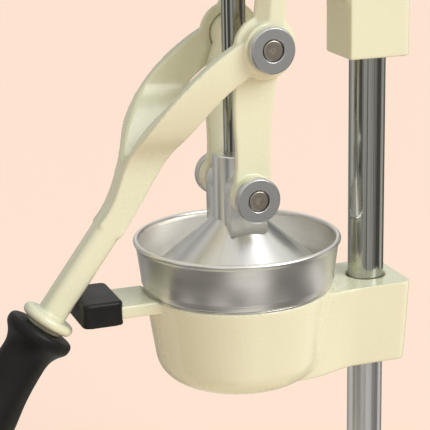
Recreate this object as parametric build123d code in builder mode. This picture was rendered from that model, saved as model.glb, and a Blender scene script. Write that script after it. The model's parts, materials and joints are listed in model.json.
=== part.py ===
from build123d import *
import os
from math import atan2, cos, hypot, radians, sin

os.makedirs("parts", exist_ok=True)

# A hand-lever citrus press: a column on a cast base carries a cup holder and a head. A forked
# lever, hinged on the head, pushes a press cone down into a strainer cup through two links.
# Millimetres, +Z up. +Y points to the column, the lever comes down on the -Y side.
# Heights named *_z are measured from the rim of the cup, and rim_height puts the rim above the
# surface that the press stands on. Distances forward and back are from the axis of the cup.

# ---------------------------------------------------------------- driving dimensions
rim_height = 255.0

base_width = 150.0
base_front = 92.0
base_back = 118.0
base_thickness = 17.0
base_corner = 26.0
base_wall = 6.0
socket_radius = 21.0
socket_height = 14.0
socket_depth = 22.0

foot_radius = 13.0
foot_height = 8.0
foot_inset = 22.0

column_radius = 11.0
column_y = 84.5
column_joint_z = -62.0
column_top_z = 180.0
spigot_radius = 7.0
spigot_length = 22.0

holder_top_z = -31.0
holder_bottom_z = -88.0
collar_top_z = -35.0
collar_half_width = 18.5
collar_top_half_width = 26.0
collar_back = 20.0
bowl_rim_radius = 56.5
bowl_low_radius = 50.5
bowl_low_z = -72.0
bowl_floor_radius = 34.0
bowl_wall = 5.0
bowl_floor = 6.0
drain_radius = 13.0

tab_top_z = -29.3
tab_half_width = 17.5
tab_thickness = 7.8
tab_front = 96.0
bumper_half_width = 20.0
bumper_front = 101.0
bumper_back = 77.0
bumper_over = 4.2
bumper_under = 2.4
bumper_screw_over = 2.2

cup_radius = 62.0
roll_radius = 1.6
cup_base_radius = 57.0
cup_ledge_radius = 46.0
sheet = 1.0
flange_radius = 56.0
spout_radius = 10.5
spout_z = -93.0
funnel_neck_z = -78.0

cone_neck_radius = 14.0
cone_neck_z = 50.7
cone_shoulder_z = 13.0
cone_base_radius = 50.5
cone_slope = 0.854
cone_wall = 6.5
press_gap = 2.5
strainer_top_radius = 9.0
slot_count = 24

rod_radius = 7.0
rod_seat = 24.0
rod_top_z = 205.0
cap_radius = 10.0
cap_height = 9.0

head_bottom_z = 102.2
head_top_z = 192.0
head_half_width = 18.0
head_front = 19.0
head_back = 20.0
arm_bottom_z = 148.0
arm_half_width = 16.0
arm_fillet = 18.0
guide_radius = 14.5
guide_bottom_z = 142.0
guide_top_z = 198.0
bush_wall = 2.0
bush_length = 18.0

ram_pivot_z = 30.0
fulcrum_y = 12.5
fulcrum_rise = 136.0
crank = 50.0
lug_half_width = 11.5
lug_outer_x = 21.5
link_plate = 4.6
link_boss = 6.0
link_end_radius = 12.5
link_rear_waist = 8.8
link_front_bow = 13.0
fork_wall = 4.3
fork_hub_radius = 18.5
fork_boss_radius = 15.0
fork_boss = 2.4
fork_disc_x = 31.0
fulcrum_hub_radius = 13.5
upper_arm_depth = 15.6
upper_arm_bevel = 6.5

pin_radius = 5.0
washer_radius = 13.2
washer_thickness = 5.5
counterbore_radius = 6.4
counterbore_depth = 3.7
screw_radius = 3.0
screw_head_radius = 5.8
screw_head_height = 3.3
screw_head_round = 0.6
screw_reach = 9.0
hex_across = 4.0
hex_depth = 2.0

shaft_angle = 53.3
shaft_y = -80.3
shaft_z = 12.5
shaft_width = 16.0
shaft_depth = 15.6
ring_run = 61.5
ring_radius = 16.0
ring_thickness = 6.6
tang_radius = 6.5
tang_length = 112.0
grip_start = 6.0
grip_flange_radius = 20.5
grip_neck_radius = 14.2
grip_swell_radius = 19.3
grip_end_radius = 15.5
grip_dome = 13.5
grip_length = 112.0

side_gap = 0.3
running_gap = 0.05
press_fit_gap = 0.02
thread_gap = 0.03

# ---------------------------------------------------------------- derived sizes
fulcrum_z = ram_pivot_z + fulcrum_rise
toggle_length = hypot(fulcrum_y, fulcrum_rise)
link_length = toggle_length - crank
lean = atan2(fulcrum_y, fulcrum_rise)
knee_y = fulcrum_y - crank * sin(lean)
knee_z = fulcrum_z - crank * cos(lean)

link_inner_x = lug_outer_x + side_gap
link_plate_x = link_inner_x + link_plate
link_outer_x = link_plate_x + link_boss
fork_inner_x = link_plate_x + side_gap
pocket_floor_x = link_outer_x + side_gap
fork_outer_x = pocket_floor_x + fork_wall
fork_face_x = fork_outer_x - fork_boss
head_boss_x = fork_inner_x - side_gap

shaft_y_dir = -cos(radians(shaft_angle))
shaft_z_dir = -sin(radians(shaft_angle))
ring_y = shaft_y + ring_run * shaft_y_dir
ring_z = shaft_z + ring_run * shaft_z_dir
grip_end_run = grip_start + grip_length
grip_dome_radius = (grip_end_radius**2 + grip_dome**2) / (2 * grip_dome)
grip_dome_run = grip_end_run + grip_dome - grip_dome_radius
grip_front = grip_dome_radius - (ring_y + grip_dome_run * shaft_y_dir)

# The cup's axis stands where the whole machine is centred front to back on the origin.
axis_y = (grip_front - base_back) / 2


def level(z, y=0.0):
    """A horizontal plane at height z from the rim, y behind the cup's axis."""
    return Plane(origin=(0, axis_y + y, rim_height + z), x_dir=(1, 0, 0), z_dir=(0, 0, 1))


def under(z, y=0.0):
    """A horizontal plane that faces down."""
    return Plane(origin=(0, axis_y + y, rim_height + z), x_dir=(1, 0, 0), z_dir=(0, 0, -1))


def side(x):
    """An upright plane facing +X, with its axes along Y and Z from the rim's centre."""
    return Plane(origin=(x, axis_y, rim_height), x_dir=(0, 1, 0), z_dir=(1, 0, 0))


def front(y):
    """An upright plane facing -Y, with its axes along X and Z from the rim's centre."""
    return Plane(origin=(0, axis_y + y, rim_height), x_dir=(1, 0, 0), z_dir=(0, -1, 0))


def shaft_plane(run):
    """A plane square to the lever's shaft, run along it from the ring."""
    centre = (0, axis_y + ring_y + run * shaft_y_dir, rim_height + ring_z + run * shaft_z_dir)
    return Plane(origin=centre, x_dir=(1, 0, 0), z_dir=(0, shaft_y_dir, shaft_z_dir))


cup_axis = Axis((0, axis_y, 0), (0, 0, 1))
upper_arm_plane = Plane(
    origin=(0, axis_y + knee_y, rim_height + knee_z),
    x_dir=(1, 0, 0),
    z_dir=(0, sin(lean), cos(lean)),
)
shaft_section = Plane(
    origin=shaft_plane(0).origin,
    x_dir=(1, 0, 0),
    z_dir=(0, -shaft_z_dir, shaft_y_dir),
)
shaft_axis = Axis(shaft_plane(0).origin, (0, shaft_y_dir, shaft_z_dir))

floor_z = -rim_height
base_bottom_z = floor_z + foot_height
base_top_z = base_bottom_z + base_thickness
base_middle_y = (base_back - base_front) / 2
base_length = base_front + base_back
foot_grid_x = base_width - 2 * foot_inset
foot_grid_y = base_length - 2 * foot_inset
socket_top_z = base_top_z + socket_height
socket_floor_z = socket_top_z - socket_depth

# ---------------------------------------------------------------- base
base_bolt_radius = 5.0
foot_screw_radius = 2.0
foot_boss_radius = 9.0

with BuildPart() as base_casting:
    with BuildSketch(level(base_bottom_z, base_middle_y)):
        RectangleRounded(base_width, base_length, base_corner)
    extrude(amount=base_thickness)
    fillet(base_casting.faces().sort_by(Axis.Z)[-1].edges(), 7)
    with BuildSketch(level(base_bottom_z, base_middle_y)):
        RectangleRounded(base_width - 2 * base_wall, base_length - 2 * base_wall, base_corner - base_wall)
        with GridLocations(foot_grid_x, foot_grid_y, 2, 2):
            Circle(foot_boss_radius, mode=Mode.SUBTRACT)
    extrude(amount=base_thickness - base_wall, mode=Mode.SUBTRACT)
    with BuildSketch(level(base_bottom_z + base_wall, column_y)):
        Circle(socket_radius)
    extrude(amount=base_thickness - base_wall + socket_height)
    fillet(base_casting.faces().sort_by(Axis.Z)[-1].edges(), 3)
    with BuildSketch(level(socket_floor_z, column_y)):
        Circle(column_radius + running_gap)
    extrude(amount=socket_depth, mode=Mode.SUBTRACT)
    with BuildSketch(level(base_bottom_z, column_y)):
        Circle(base_bolt_radius + 0.5)
    extrude(amount=base_thickness + socket_height, mode=Mode.SUBTRACT)
    with BuildSketch(level(base_bottom_z, base_middle_y)):
        with GridLocations(foot_grid_x, foot_grid_y, 2, 2):
            Circle(foot_screw_radius + thread_gap)
    extrude(amount=base_thickness - base_wall, mode=Mode.SUBTRACT)

foot_screw_head = 2.4
foot_recess = 4.0

with BuildPart() as feet:
    with BuildSketch(level(floor_z, base_middle_y)):
        with GridLocations(foot_grid_x, foot_grid_y, 2, 2):
            Circle(foot_radius)
    extrude(amount=foot_height)
    chamfer(feet.faces().group_by(Axis.Z)[-1].edges(), 1.5)
    fillet(feet.faces().group_by(Axis.Z)[0].edges(), 1.5)
    with BuildSketch(level(floor_z, base_middle_y)):
        with GridLocations(foot_grid_x, foot_grid_y, 2, 2):
            Circle(foot_screw_radius + 3)
    extrude(amount=foot_recess, mode=Mode.SUBTRACT)
    with BuildSketch(level(floor_z, base_middle_y)):
        with GridLocations(foot_grid_x, foot_grid_y, 2, 2):
            Circle(foot_screw_radius + running_gap)
    extrude(amount=foot_height, mode=Mode.SUBTRACT)

with BuildPart() as foot_screws:
    with BuildSketch(level(floor_z + foot_recess - foot_screw_head, base_middle_y)):
        with GridLocations(foot_grid_x, foot_grid_y, 2, 2):
            Circle(foot_screw_radius + 2.4)
    extrude(amount=foot_screw_head)
    with BuildSketch(level(floor_z + foot_recess, base_middle_y)):
        with GridLocations(foot_grid_x, foot_grid_y, 2, 2):
            Circle(foot_screw_radius)
    extrude(amount=foot_height - foot_recess + 9)

# ---------------------------------------------------------------- column
bolt_reach = 24.0
bolt_head_height = 6.5
bolt_washer_thickness = 2.0
bolt_washer_z = base_bottom_z + base_wall - bolt_washer_thickness

with BuildPart() as base_bolt_washer:
    with BuildSketch(level(bolt_washer_z, column_y)):
        Circle(socket_radius - 8)
        Circle(base_bolt_radius + running_gap, mode=Mode.SUBTRACT)
    extrude(amount=bolt_washer_thickness)

with BuildPart() as base_bolt:
    with BuildSketch(level(bolt_washer_z - bolt_head_height, column_y)):
        RegularPolygon(8.5, 6, major_radius=False)
    extrude(amount=bolt_head_height)
    with BuildSketch(level(bolt_washer_z, column_y)):
        Circle(base_bolt_radius)
    extrude(amount=socket_floor_z - bolt_washer_z + bolt_reach)

with BuildPart() as lower_column:
    with BuildSketch(level(socket_floor_z, column_y)):
        Circle(column_radius)
    extrude(amount=column_joint_z - socket_floor_z)
    with BuildSketch(level(socket_floor_z, column_y)):
        Circle(base_bolt_radius + thread_gap)
    extrude(amount=bolt_reach + 3, mode=Mode.SUBTRACT)
    with BuildSketch(level(column_joint_z - spigot_length - 1, column_y)):
        Circle(spigot_radius + running_gap)
    extrude(amount=spigot_length + 1, mode=Mode.SUBTRACT)

with BuildPart() as upper_column:
    with BuildSketch(level(column_joint_z, column_y)):
        Circle(column_radius)
    extrude(amount=column_top_z - column_joint_z)
    chamfer(upper_column.faces().sort_by(Axis.Z)[-1].edges(), 1)
    with BuildSketch(level(column_joint_z - spigot_length, column_y)):
        Circle(spigot_radius)
    extrude(amount=spigot_length)

# ---------------------------------------------------------------- cup holder
holder_height = holder_top_z - holder_bottom_z
tab_bottom_z = tab_top_z - tab_thickness
hole_relief = 1.0
clamp_screw_radius = 3.0
holder_screw_z = (collar_top_z + holder_bottom_z) / 2
collar_flares = {
    holder_bottom_z: [(collar_half_width, 78), (collar_half_width + 1.0, 63), (27, 42), (33, 6)],
    collar_top_z: [(collar_top_half_width, 75), (collar_top_half_width + 1.5, 58), (34, 37), (48, 11)],
}

with BuildPart() as cup_holder:
    with BuildSketch(Plane(origin=(0, axis_y, rim_height), x_dir=(1, 0, 0), z_dir=(0, -1, 0))):
        with BuildLine():
            Polyline(
                (0, holder_top_z),
                (bowl_rim_radius, holder_top_z),
                (bowl_low_radius, bowl_low_z),
            )
            RadiusArc((bowl_low_radius, bowl_low_z), (bowl_floor_radius, holder_bottom_z), 19)
            Polyline(
                (bowl_floor_radius, holder_bottom_z),
                (0, holder_bottom_z),
                (0, holder_top_z),
            )
        make_face()
    revolve(axis=cup_axis)
    # The arm to the column narrows downward and flares into the bowl.
    for height, flare in collar_flares.items():
        with BuildSketch(level(height)):
            with BuildLine():
                edge = Spline(*flare, tangents=[(0, -1), (0.5, -1)])
                Polyline(
                    edge @ 0,
                    (flare[0][0], column_y + collar_back),
                    (0, column_y + collar_back),
                    (0, flare[-1][1]),
                    edge @ 1,
                )
            make_face()
            mirror(about=Plane.YZ)
    loft()
    upright = cup_holder.edges().filter_by(lambda e: e.bounding_box().size.Z > 20)
    fillet(upright.group_by(Axis.Y)[-1], 6)
    with BuildSketch(level(tab_bottom_z, -tab_front / 2)):
        Rectangle(2 * tab_half_width, tab_front)
    extrude(amount=tab_thickness)
    # A seat that the cup drops into.
    with BuildSketch(level(holder_top_z)):
        Circle(cup_base_radius + 0.5)
    extrude(amount=tab_top_z - holder_top_z + 1, mode=Mode.SUBTRACT)
    with BuildSketch(Plane(origin=(0, axis_y, rim_height), x_dir=(1, 0, 0), z_dir=(0, -1, 0))):
        with BuildLine():
            Polyline(
                (0, holder_top_z),
                (bowl_rim_radius - bowl_wall + 0.5, holder_top_z),
                (bowl_low_radius - bowl_wall, bowl_low_z),
                (bowl_floor_radius - bowl_wall, holder_bottom_z + bowl_floor),
                (drain_radius, holder_bottom_z + bowl_floor),
                (drain_radius, holder_bottom_z),
                (0, holder_bottom_z),
                (0, holder_top_z),
            )
        make_face()
    revolve(axis=cup_axis, mode=Mode.SUBTRACT)
    with BuildSketch(level(holder_bottom_z, column_y)):
        Circle(column_radius + running_gap)
    extrude(amount=holder_height, mode=Mode.SUBTRACT)
    with BuildSketch(level(collar_top_z - 3, column_y)):
        Circle(column_radius + hole_relief)
    extrude(amount=5, mode=Mode.SUBTRACT)
    with BuildSketch(Plane(origin=(0, axis_y + column_y, rim_height + holder_screw_z), z_dir=(0, 1, 0))):
        Circle(clamp_screw_radius + thread_gap)
    extrude(amount=collar_back + 1, mode=Mode.SUBTRACT)
    with BuildSketch(level(tab_bottom_z, -(bumper_front + bumper_back) / 2)):
        Circle(foot_screw_radius + running_gap)
    extrude(amount=tab_thickness, mode=Mode.SUBTRACT)

with BuildPart() as holder_clamp_screw:
    with BuildSketch(
        Plane(
            origin=(0, axis_y + column_y + column_radius + running_gap, rim_height + holder_screw_z),
            z_dir=(0, 1, 0),
        )
    ):
        Circle(clamp_screw_radius)
    extrude(amount=collar_back - column_radius - 1)
    with BuildSketch(
        Plane(origin=(0, axis_y + column_y + collar_back - 1, rim_height + holder_screw_z), z_dir=(0, 1, 0))
    ):
        RegularPolygon(1.5, 6, major_radius=False)
    extrude(amount=-2.5, mode=Mode.SUBTRACT)

# ---------------------------------------------------------------- lever
arm_knots = [
    (knee_y, knee_z),
    (-38.9, 85.8),
    (-59.5, 56.5),
    (-67.5, 33.5),
    (shaft_y, shaft_z),
]
arm_half_depths = [10.5, 9.4, 7.6, 7.5, shaft_depth / 2]
arm_back_knots = [(-20.0, 87.0), (-36.0, 66.5), (-49.0, 46.0), (-61.5, 26.0)]
arm_line = Spline(*arm_knots, tangents=[(-1, -0.42), (shaft_y_dir, shaft_z_dir)])
arm_samples = [0.0, 0.2, 0.4, 0.55, 0.7, 0.85, 1.0]


def arm_edge(sign):
    """Points along one edge of the fork's arm, half its depth from the middle line."""
    points = []
    for share in arm_samples:
        position = arm_line @ share
        heading = arm_line % share
        place = share * (len(arm_half_depths) - 1)
        low = min(int(place), len(arm_half_depths) - 2)
        part_way = place - low
        half = arm_half_depths[low] * (1 - part_way) + arm_half_depths[low + 1] * part_way
        points.append((position.X - sign * half * heading.Y, position.Y + sign * half * heading.X))
    return points


shaft_overlap = 6.0
front_edge = arm_edge(-1)
# The back edge runs nearly straight down to the shaft, so the arm is deepest in its middle.
back_edge = [arm_edge(1)[0], *arm_back_knots, arm_edge(1)[-1]]
crotch_z = 50.0

with BuildPart() as lever_fork:
    # Arms: the side outline, cut by the outline seen from the front.
    with BuildSketch(side(-fork_outer_x)):
        with BuildLine():
            upper = Spline(*front_edge)
            lower = Spline(*back_edge)
            Line(upper @ 1, lower @ 1)
            Line(upper @ 0, lower @ 0)
        make_face()
    extrude(amount=2 * fork_outer_x)
    with BuildSketch(front(0)):
        with BuildLine():
            outside = Spline(
                (fork_face_x, knee_z - 6),
                (fork_face_x - 4, 86),
                (21, 66.5),
                (shaft_width / 2, 41),
                tangents=[(0, -1), (0, -1)],
            )
            Line((fork_face_x, knee_z + 20), outside @ 0)
            inside = Spline(
                (fork_inner_x, knee_z - 22),
                (fork_inner_x - 6, 81),
                (9, 62.5),
                (0, crotch_z),
                tangents=[(0, -1), (-1, -0.7)],
            )
            Line(inside @ 0, (fork_inner_x, knee_z + 20))
            Line((fork_inner_x, knee_z + 20), (fork_face_x, knee_z + 20))
            Polyline(outside @ 1, (shaft_width / 2, shaft_z - 12), (0, shaft_z - 12), inside @ 1)
        make_face()
        mirror(about=Plane.YZ)
    extrude(amount=150, both=True, mode=Mode.INTERSECT)
    # Shaft, ring and the tang that the grip is pushed on.
    with BuildSketch(shaft_plane(-ring_run - shaft_overlap)):
        RectangleRounded(shaft_width, shaft_depth, 5)
    extrude(amount=ring_run + shaft_overlap)
    with BuildSketch(shaft_plane(-ring_thickness / 2)):
        Circle(ring_radius)
    extrude(amount=ring_thickness)
    ring_faces = lever_fork.faces().filter_by(GeomType.CYLINDER).filter_by(
        lambda f: abs(f.radius - ring_radius) < 0.01
    )
    fillet(ring_faces.edges().filter_by(GeomType.CIRCLE), ring_thickness / 2 - 0.1)
    with BuildSketch(shaft_plane(0)):
        Circle(tang_radius + 4)
    extrude(amount=grip_start)
    with BuildSketch(shaft_plane(0)):
        Circle(tang_radius)
    extrude(amount=tang_length)
    # Hubs at the knee, upper arms and hubs at the fulcrum, the same on both sides.
    with BuildSketch(side(fork_inner_x)):
        with Locations((knee_y, knee_z)):
            Circle(fork_hub_radius)
    extrude(amount=fork_disc_x - fork_inner_x)
    with BuildSketch(side(fork_disc_x - 1)):
        with Locations((knee_y, knee_z)):
            Circle(fork_boss_radius)
    extrude(amount=fork_outer_x - fork_disc_x + 1)
    with BuildSketch(side(fork_inner_x)):
        with Locations((fulcrum_y, fulcrum_z)):
            Circle(fulcrum_hub_radius)
    extrude(amount=fork_outer_x - fork_inner_x)
    with BuildSketch(upper_arm_plane):
        with BuildLine():
            Polyline(
                (fork_inner_x, -upper_arm_depth / 2),
                (fork_outer_x - upper_arm_bevel, -upper_arm_depth / 2),
                (fork_outer_x, upper_arm_bevel - upper_arm_depth / 2),
                (fork_outer_x, upper_arm_depth / 2),
                (fork_inner_x, upper_arm_depth / 2),
                (fork_inner_x, -upper_arm_depth / 2),
            )
        make_face()
    extrude(amount=crank)
    with BuildSketch(side(fork_inner_x)):
        with Locations((knee_y, knee_z)):
            Circle(fork_hub_radius + 1)
    extrude(amount=-10, mode=Mode.SUBTRACT)
    with BuildSketch(side(fork_inner_x - 1)):
        with Locations((knee_y, knee_z)):
            Circle(link_end_radius + side_gap)
    extrude(amount=pocket_floor_x - fork_inner_x + 1, mode=Mode.SUBTRACT)
    with BuildSketch(side(fork_inner_x - 1)):
        with Locations((knee_y, knee_z)):
            Circle(pin_radius + press_fit_gap)
        with Locations((fulcrum_y, fulcrum_z)):
            Circle(pin_radius + running_gap)
    extrude(amount=fork_outer_x - fork_inner_x + 2, mode=Mode.SUBTRACT)
    split(bisect_by=Plane.YZ, keep=Keep.TOP)
    mirror(about=Plane.YZ)

with BuildPart() as grip:
    with BuildSketch(shaft_section):
        with BuildLine():
            outline = Spline(
                (grip_flange_radius, grip_start + 4),
                (grip_flange_radius - 2.5, grip_start + 9),
                (grip_neck_radius + 0.6, grip_start + 15),
                (grip_neck_radius, grip_start + 23),
                (16.0, 51.0),
                (18.6, 66.0),
                (grip_swell_radius, 82.0),
                (17.6, 104.0),
                (grip_end_radius, grip_end_run),
                tangents=[(0, 1), (-0.1, 1)],
            )
            RadiusArc(outline @ 1, (0, grip_end_run + grip_dome), -grip_dome_radius)
            Polyline(
                (0, grip_end_run + grip_dome),
                (0, grip_start),
                (grip_flange_radius - 3, grip_start),
            )
            Spline(
                (grip_flange_radius - 3, grip_start),
                outline @ 0,
                tangents=[(1, 0), (0, 1)],
            )
        make_face()
    revolve(axis=shaft_axis)
    with BuildSketch(shaft_plane(grip_start)):
        Circle(tang_radius + running_gap)
    extrude(amount=tang_length - grip_start + 0.5, mode=Mode.SUBTRACT)

with BuildPart() as stop_bumper:
    with BuildSketch(level(tab_bottom_z - bumper_under, -(bumper_front + bumper_back) / 2)):
        RectangleRounded(2 * bumper_half_width, bumper_front - bumper_back, 4)
    extrude(amount=tab_thickness + bumper_over + bumper_under)
    fillet(stop_bumper.faces().sort_by(Axis.Z)[-1].edges(), 2)
    with BuildSketch(level(tab_bottom_z, -(tab_front + bumper_back) / 2)):
        Rectangle(2 * tab_half_width + 2 * running_gap, tab_front - bumper_back + 2 * running_gap)
    extrude(amount=tab_thickness, mode=Mode.SUBTRACT)
    with BuildSketch(shaft_plane(-ring_run)):
        RectangleRounded(shaft_width + 2 * side_gap, shaft_depth + 2 * side_gap, 5)
    extrude(amount=ring_run + 10, mode=Mode.SUBTRACT)
    with BuildSketch(under(tab_top_z + bumper_screw_over, -(bumper_front + bumper_back) / 2)):
        Circle(foot_screw_radius + running_gap)
    extrude(amount=tab_thickness + bumper_screw_over + bumper_under, mode=Mode.SUBTRACT)
    with BuildSketch(under(tab_bottom_z - bumper_under + 1.8, -(bumper_front + bumper_back) / 2)):
        Circle(foot_screw_radius + 2)
    extrude(amount=3, mode=Mode.SUBTRACT)

with BuildPart() as bumper_screw:
    with BuildSketch(under(tab_bottom_z - bumper_under + 1.8, -(bumper_front + bumper_back) / 2)):
        Circle(foot_screw_radius + 1.8)
    extrude(amount=1.6)
    with BuildSketch(level(tab_bottom_z - bumper_under + 1.8, -(bumper_front + bumper_back) / 2)):
        Circle(foot_screw_radius)
    extrude(amount=tab_thickness + bumper_under)

# ---------------------------------------------------------------- head
head_screw_z = (head_bottom_z + head_top_z) / 2

with BuildPart() as head_casting:
    with BuildSketch(level(head_bottom_z, column_y + (head_back - head_front) / 2)):
        Rectangle(2 * head_half_width, head_back + head_front)
    extrude(amount=head_top_z - head_bottom_z)
    with BuildSketch(side(-arm_half_width)):
        with BuildLine():
            front_y = column_y - head_front
            Polyline(
                (front_y + 1, arm_bottom_z - arm_fillet),
                (front_y, arm_bottom_z - arm_fillet),
            )
            RadiusArc(
                (front_y, arm_bottom_z - arm_fillet),
                (front_y - arm_fillet, arm_bottom_z),
                -arm_fillet,
            )
            Polyline(
                (front_y - arm_fillet, arm_bottom_z),
                (0, arm_bottom_z),
                (0, head_top_z),
                (front_y + 1, head_top_z),
                (front_y + 1, arm_bottom_z - arm_fillet),
            )
        make_face()
    extrude(amount=2 * arm_half_width)
    corners = head_casting.edges().filter_by(Axis.Z).group_by(Axis.Y)[-1]
    fillet(corners, 4)
    fillet(head_casting.faces().sort_by(Axis.Z)[-1].edges(), 4)
    with BuildSketch(level(guide_bottom_z)):
        Circle(guide_radius)
    extrude(amount=guide_top_z - guide_bottom_z)
    with BuildSketch(side(-head_boss_x)):
        with Locations((fulcrum_y, fulcrum_z)):
            Circle(fulcrum_hub_radius)
    extrude(amount=2 * head_boss_x)
    with BuildSketch(level(guide_bottom_z - 1)):
        Circle(rod_radius + 1)
    extrude(amount=guide_top_z - guide_bottom_z + 2, mode=Mode.SUBTRACT)
    with BuildSketch(level(guide_bottom_z), level(guide_top_z - bush_length)):
        Circle(rod_radius + running_gap + bush_wall)
    extrude(amount=bush_length, mode=Mode.SUBTRACT)
    with BuildSketch(level(head_bottom_z, column_y)):
        Circle(column_radius + running_gap)
    extrude(amount=column_top_z - head_bottom_z, mode=Mode.SUBTRACT)
    with BuildSketch(side(head_boss_x - 11)):
        with Locations((fulcrum_y, fulcrum_z)):
            Circle(pin_radius + press_fit_gap)
    extrude(amount=12, mode=Mode.SUBTRACT)
    with BuildSketch(side(-head_boss_x + 11)):
        with Locations((fulcrum_y, fulcrum_z)):
            Circle(pin_radius + press_fit_gap)
    extrude(amount=-12, mode=Mode.SUBTRACT)
    with BuildSketch(Plane(origin=(0, axis_y + column_y, rim_height + head_screw_z), z_dir=(0, 1, 0))):
        Circle(clamp_screw_radius + thread_gap)
    extrude(amount=head_back + 1, mode=Mode.SUBTRACT)

with BuildPart() as head_clamp_screw:
    with BuildSketch(
        Plane(
            origin=(0, axis_y + column_y + column_radius + running_gap, rim_height + head_screw_z),
            z_dir=(0, 1, 0),
        )
    ):
        Circle(clamp_screw_radius)
    extrude(amount=head_back - column_radius - 1)
    with BuildSketch(
        Plane(origin=(0, axis_y + column_y + head_back - 1, rim_height + head_screw_z), z_dir=(0, 1, 0))
    ):
        RegularPolygon(1.5, 6, major_radius=False)
    extrude(amount=-2.5, mode=Mode.SUBTRACT)

with BuildPart() as guide_bushes:
    with BuildSketch(level(guide_bottom_z), level(guide_top_z - bush_length)):
        Circle(rod_radius + running_gap + bush_wall)
        Circle(rod_radius + running_gap, mode=Mode.SUBTRACT)
    extrude(amount=bush_length)

# ---------------------------------------------------------------- ram
cone_edge_z = cone_shoulder_z - cone_slope * (cone_base_radius - cone_neck_radius)
cone_under_z = cone_shoulder_z - cone_wall + cone_slope * (cone_neck_radius - strainer_top_radius)
cone_lip_radius = cone_base_radius - 3.0
cone_lip_z = cone_shoulder_z - cone_wall - cone_slope * (cone_lip_radius - cone_neck_radius)

with BuildPart() as press_cone:
    with BuildSketch(level(cone_under_z)):
        Circle(cone_neck_radius)
    extrude(amount=cone_neck_z - cone_under_z)
    fillet(press_cone.edges().group_by(Axis.Z)[-1], 0.8)
    with BuildSketch(side(0)):
        with Locations((0, ram_pivot_z)):
            Circle(lug_half_width)
        with Locations((0, ram_pivot_z / 2)):
            Rectangle(2 * lug_half_width, ram_pivot_z)
    extrude(amount=lug_outer_x)
    # The lugs stop inside the wall of the cone.
    with BuildSketch(front(lug_half_width)):
        with BuildLine():
            Polyline(
                (0, -1),
                (lug_outer_x + 1, -1),
                (lug_outer_x + 1, cone_shoulder_z - cone_slope * (lug_outer_x + 1 - cone_neck_radius) - 3),
                (cone_neck_radius - 5, cone_shoulder_z - 3),
                (0, cone_shoulder_z - 3),
                (0, -1),
            )
        make_face()
    extrude(amount=2 * lug_half_width, mode=Mode.SUBTRACT)
    with BuildSketch(front(0)):
        with BuildLine():
            Polyline(
                (0, cone_shoulder_z),
                (cone_neck_radius, cone_shoulder_z),
                (cone_base_radius, cone_edge_z),
                (cone_base_radius, cone_edge_z - 3),
                (cone_lip_radius, cone_edge_z - 3),
                (cone_lip_radius, cone_lip_z),
                (strainer_top_radius, cone_under_z),
                (0, cone_under_z),
                (0, cone_shoulder_z),
            )
        make_face()
    revolve(axis=cup_axis)
    split(bisect_by=Plane.YZ, keep=Keep.TOP)
    mirror(about=Plane.YZ)
    with BuildSketch(level(cone_neck_z - rod_seat)):
        Circle(rod_radius + press_fit_gap)
    extrude(amount=rod_seat, mode=Mode.SUBTRACT)
    with BuildSketch(side(-lug_outer_x)):
        with Locations((0, ram_pivot_z)):
            Circle(screw_radius + 0.3)
    extrude(amount=7, mode=Mode.SUBTRACT)
    with BuildSketch(side(lug_outer_x)):
        with Locations((0, ram_pivot_z)):
            Circle(screw_radius + 0.3)
    extrude(amount=-7, mode=Mode.SUBTRACT)

with BuildPart() as guide_rod:
    with BuildSketch(level(cone_neck_z - rod_seat)):
        Circle(rod_radius)
    extrude(amount=rod_top_z - cone_neck_z + rod_seat)
    with BuildSketch(level(rod_top_z)):
        Circle(rod_radius - 3)
    extrude(amount=cap_height - 3)

with BuildPart() as rod_cap:
    with BuildSketch(level(rod_top_z)):
        Circle(cap_radius)
    extrude(amount=cap_height)
    fillet(rod_cap.edges().group_by(Axis.Z)[-1], 3)
    with BuildSketch(level(rod_top_z)):
        Circle(rod_radius - 3 + thread_gap)
    extrude(amount=cap_height - 3, mode=Mode.SUBTRACT)

# ---------------------------------------------------------------- links
knee_plane = Plane(
    origin=(link_inner_x, axis_y, rim_height + ram_pivot_z),
    x_dir=(0, cos(lean), -sin(lean)),
    z_dir=(1, 0, 0),
)

with BuildPart() as link_right:
    with BuildSketch(knee_plane):
        with BuildLine():
            ThreePointArc(
                (link_end_radius, 1),
                (link_rear_waist, link_length / 2),
                (link_end_radius, link_length - 1),
            )
            Line((link_end_radius, link_length - 1), (-link_end_radius + 3.5, link_length - 1))
            Spline(
                (-link_end_radius + 3.5, link_length - 1),
                (-link_front_bow, link_length * 0.45),
                (-link_end_radius + 2, 12),
                (-link_end_radius + 1.5, 5),
            )
            Polyline((-link_end_radius + 1.5, 5), (-link_end_radius + 1.5, 1), (link_end_radius, 1))
        make_face()
        Circle(link_end_radius)
        with Locations((0, link_length)):
            Circle(link_end_radius)
    extrude(amount=link_plate)
    with BuildSketch(knee_plane.offset(link_plate)):
        Circle(link_end_radius)
        with Locations((0, link_length)):
            Circle(link_end_radius)
    extrude(amount=link_boss)
    with BuildSketch(knee_plane):
        Circle(pin_radius + press_fit_gap)
        with Locations((0, link_length)):
            Circle(pin_radius + running_gap)
    extrude(amount=link_plate + link_boss, mode=Mode.SUBTRACT)

with BuildPart() as link_left:
    mirror(link_right.part, about=Plane.YZ)


# ---------------------------------------------------------------- pivots
def pivot_pins(y, z, inner_x, outer_x):
    """Two plain pins on one axis, tapped at their outer ends, as a pair."""
    with BuildPart() as pins:
        with BuildSketch(side(inner_x)):
            with Locations((y, z)):
                Circle(pin_radius)
        extrude(amount=outer_x - inner_x)
        with BuildSketch(side(outer_x)):
            with Locations((y, z)):
                Circle(screw_radius + thread_gap)
        extrude(amount=-(screw_reach + 0.8), mode=Mode.SUBTRACT)
        mirror(about=Plane.YZ)
    return pins.part


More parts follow.
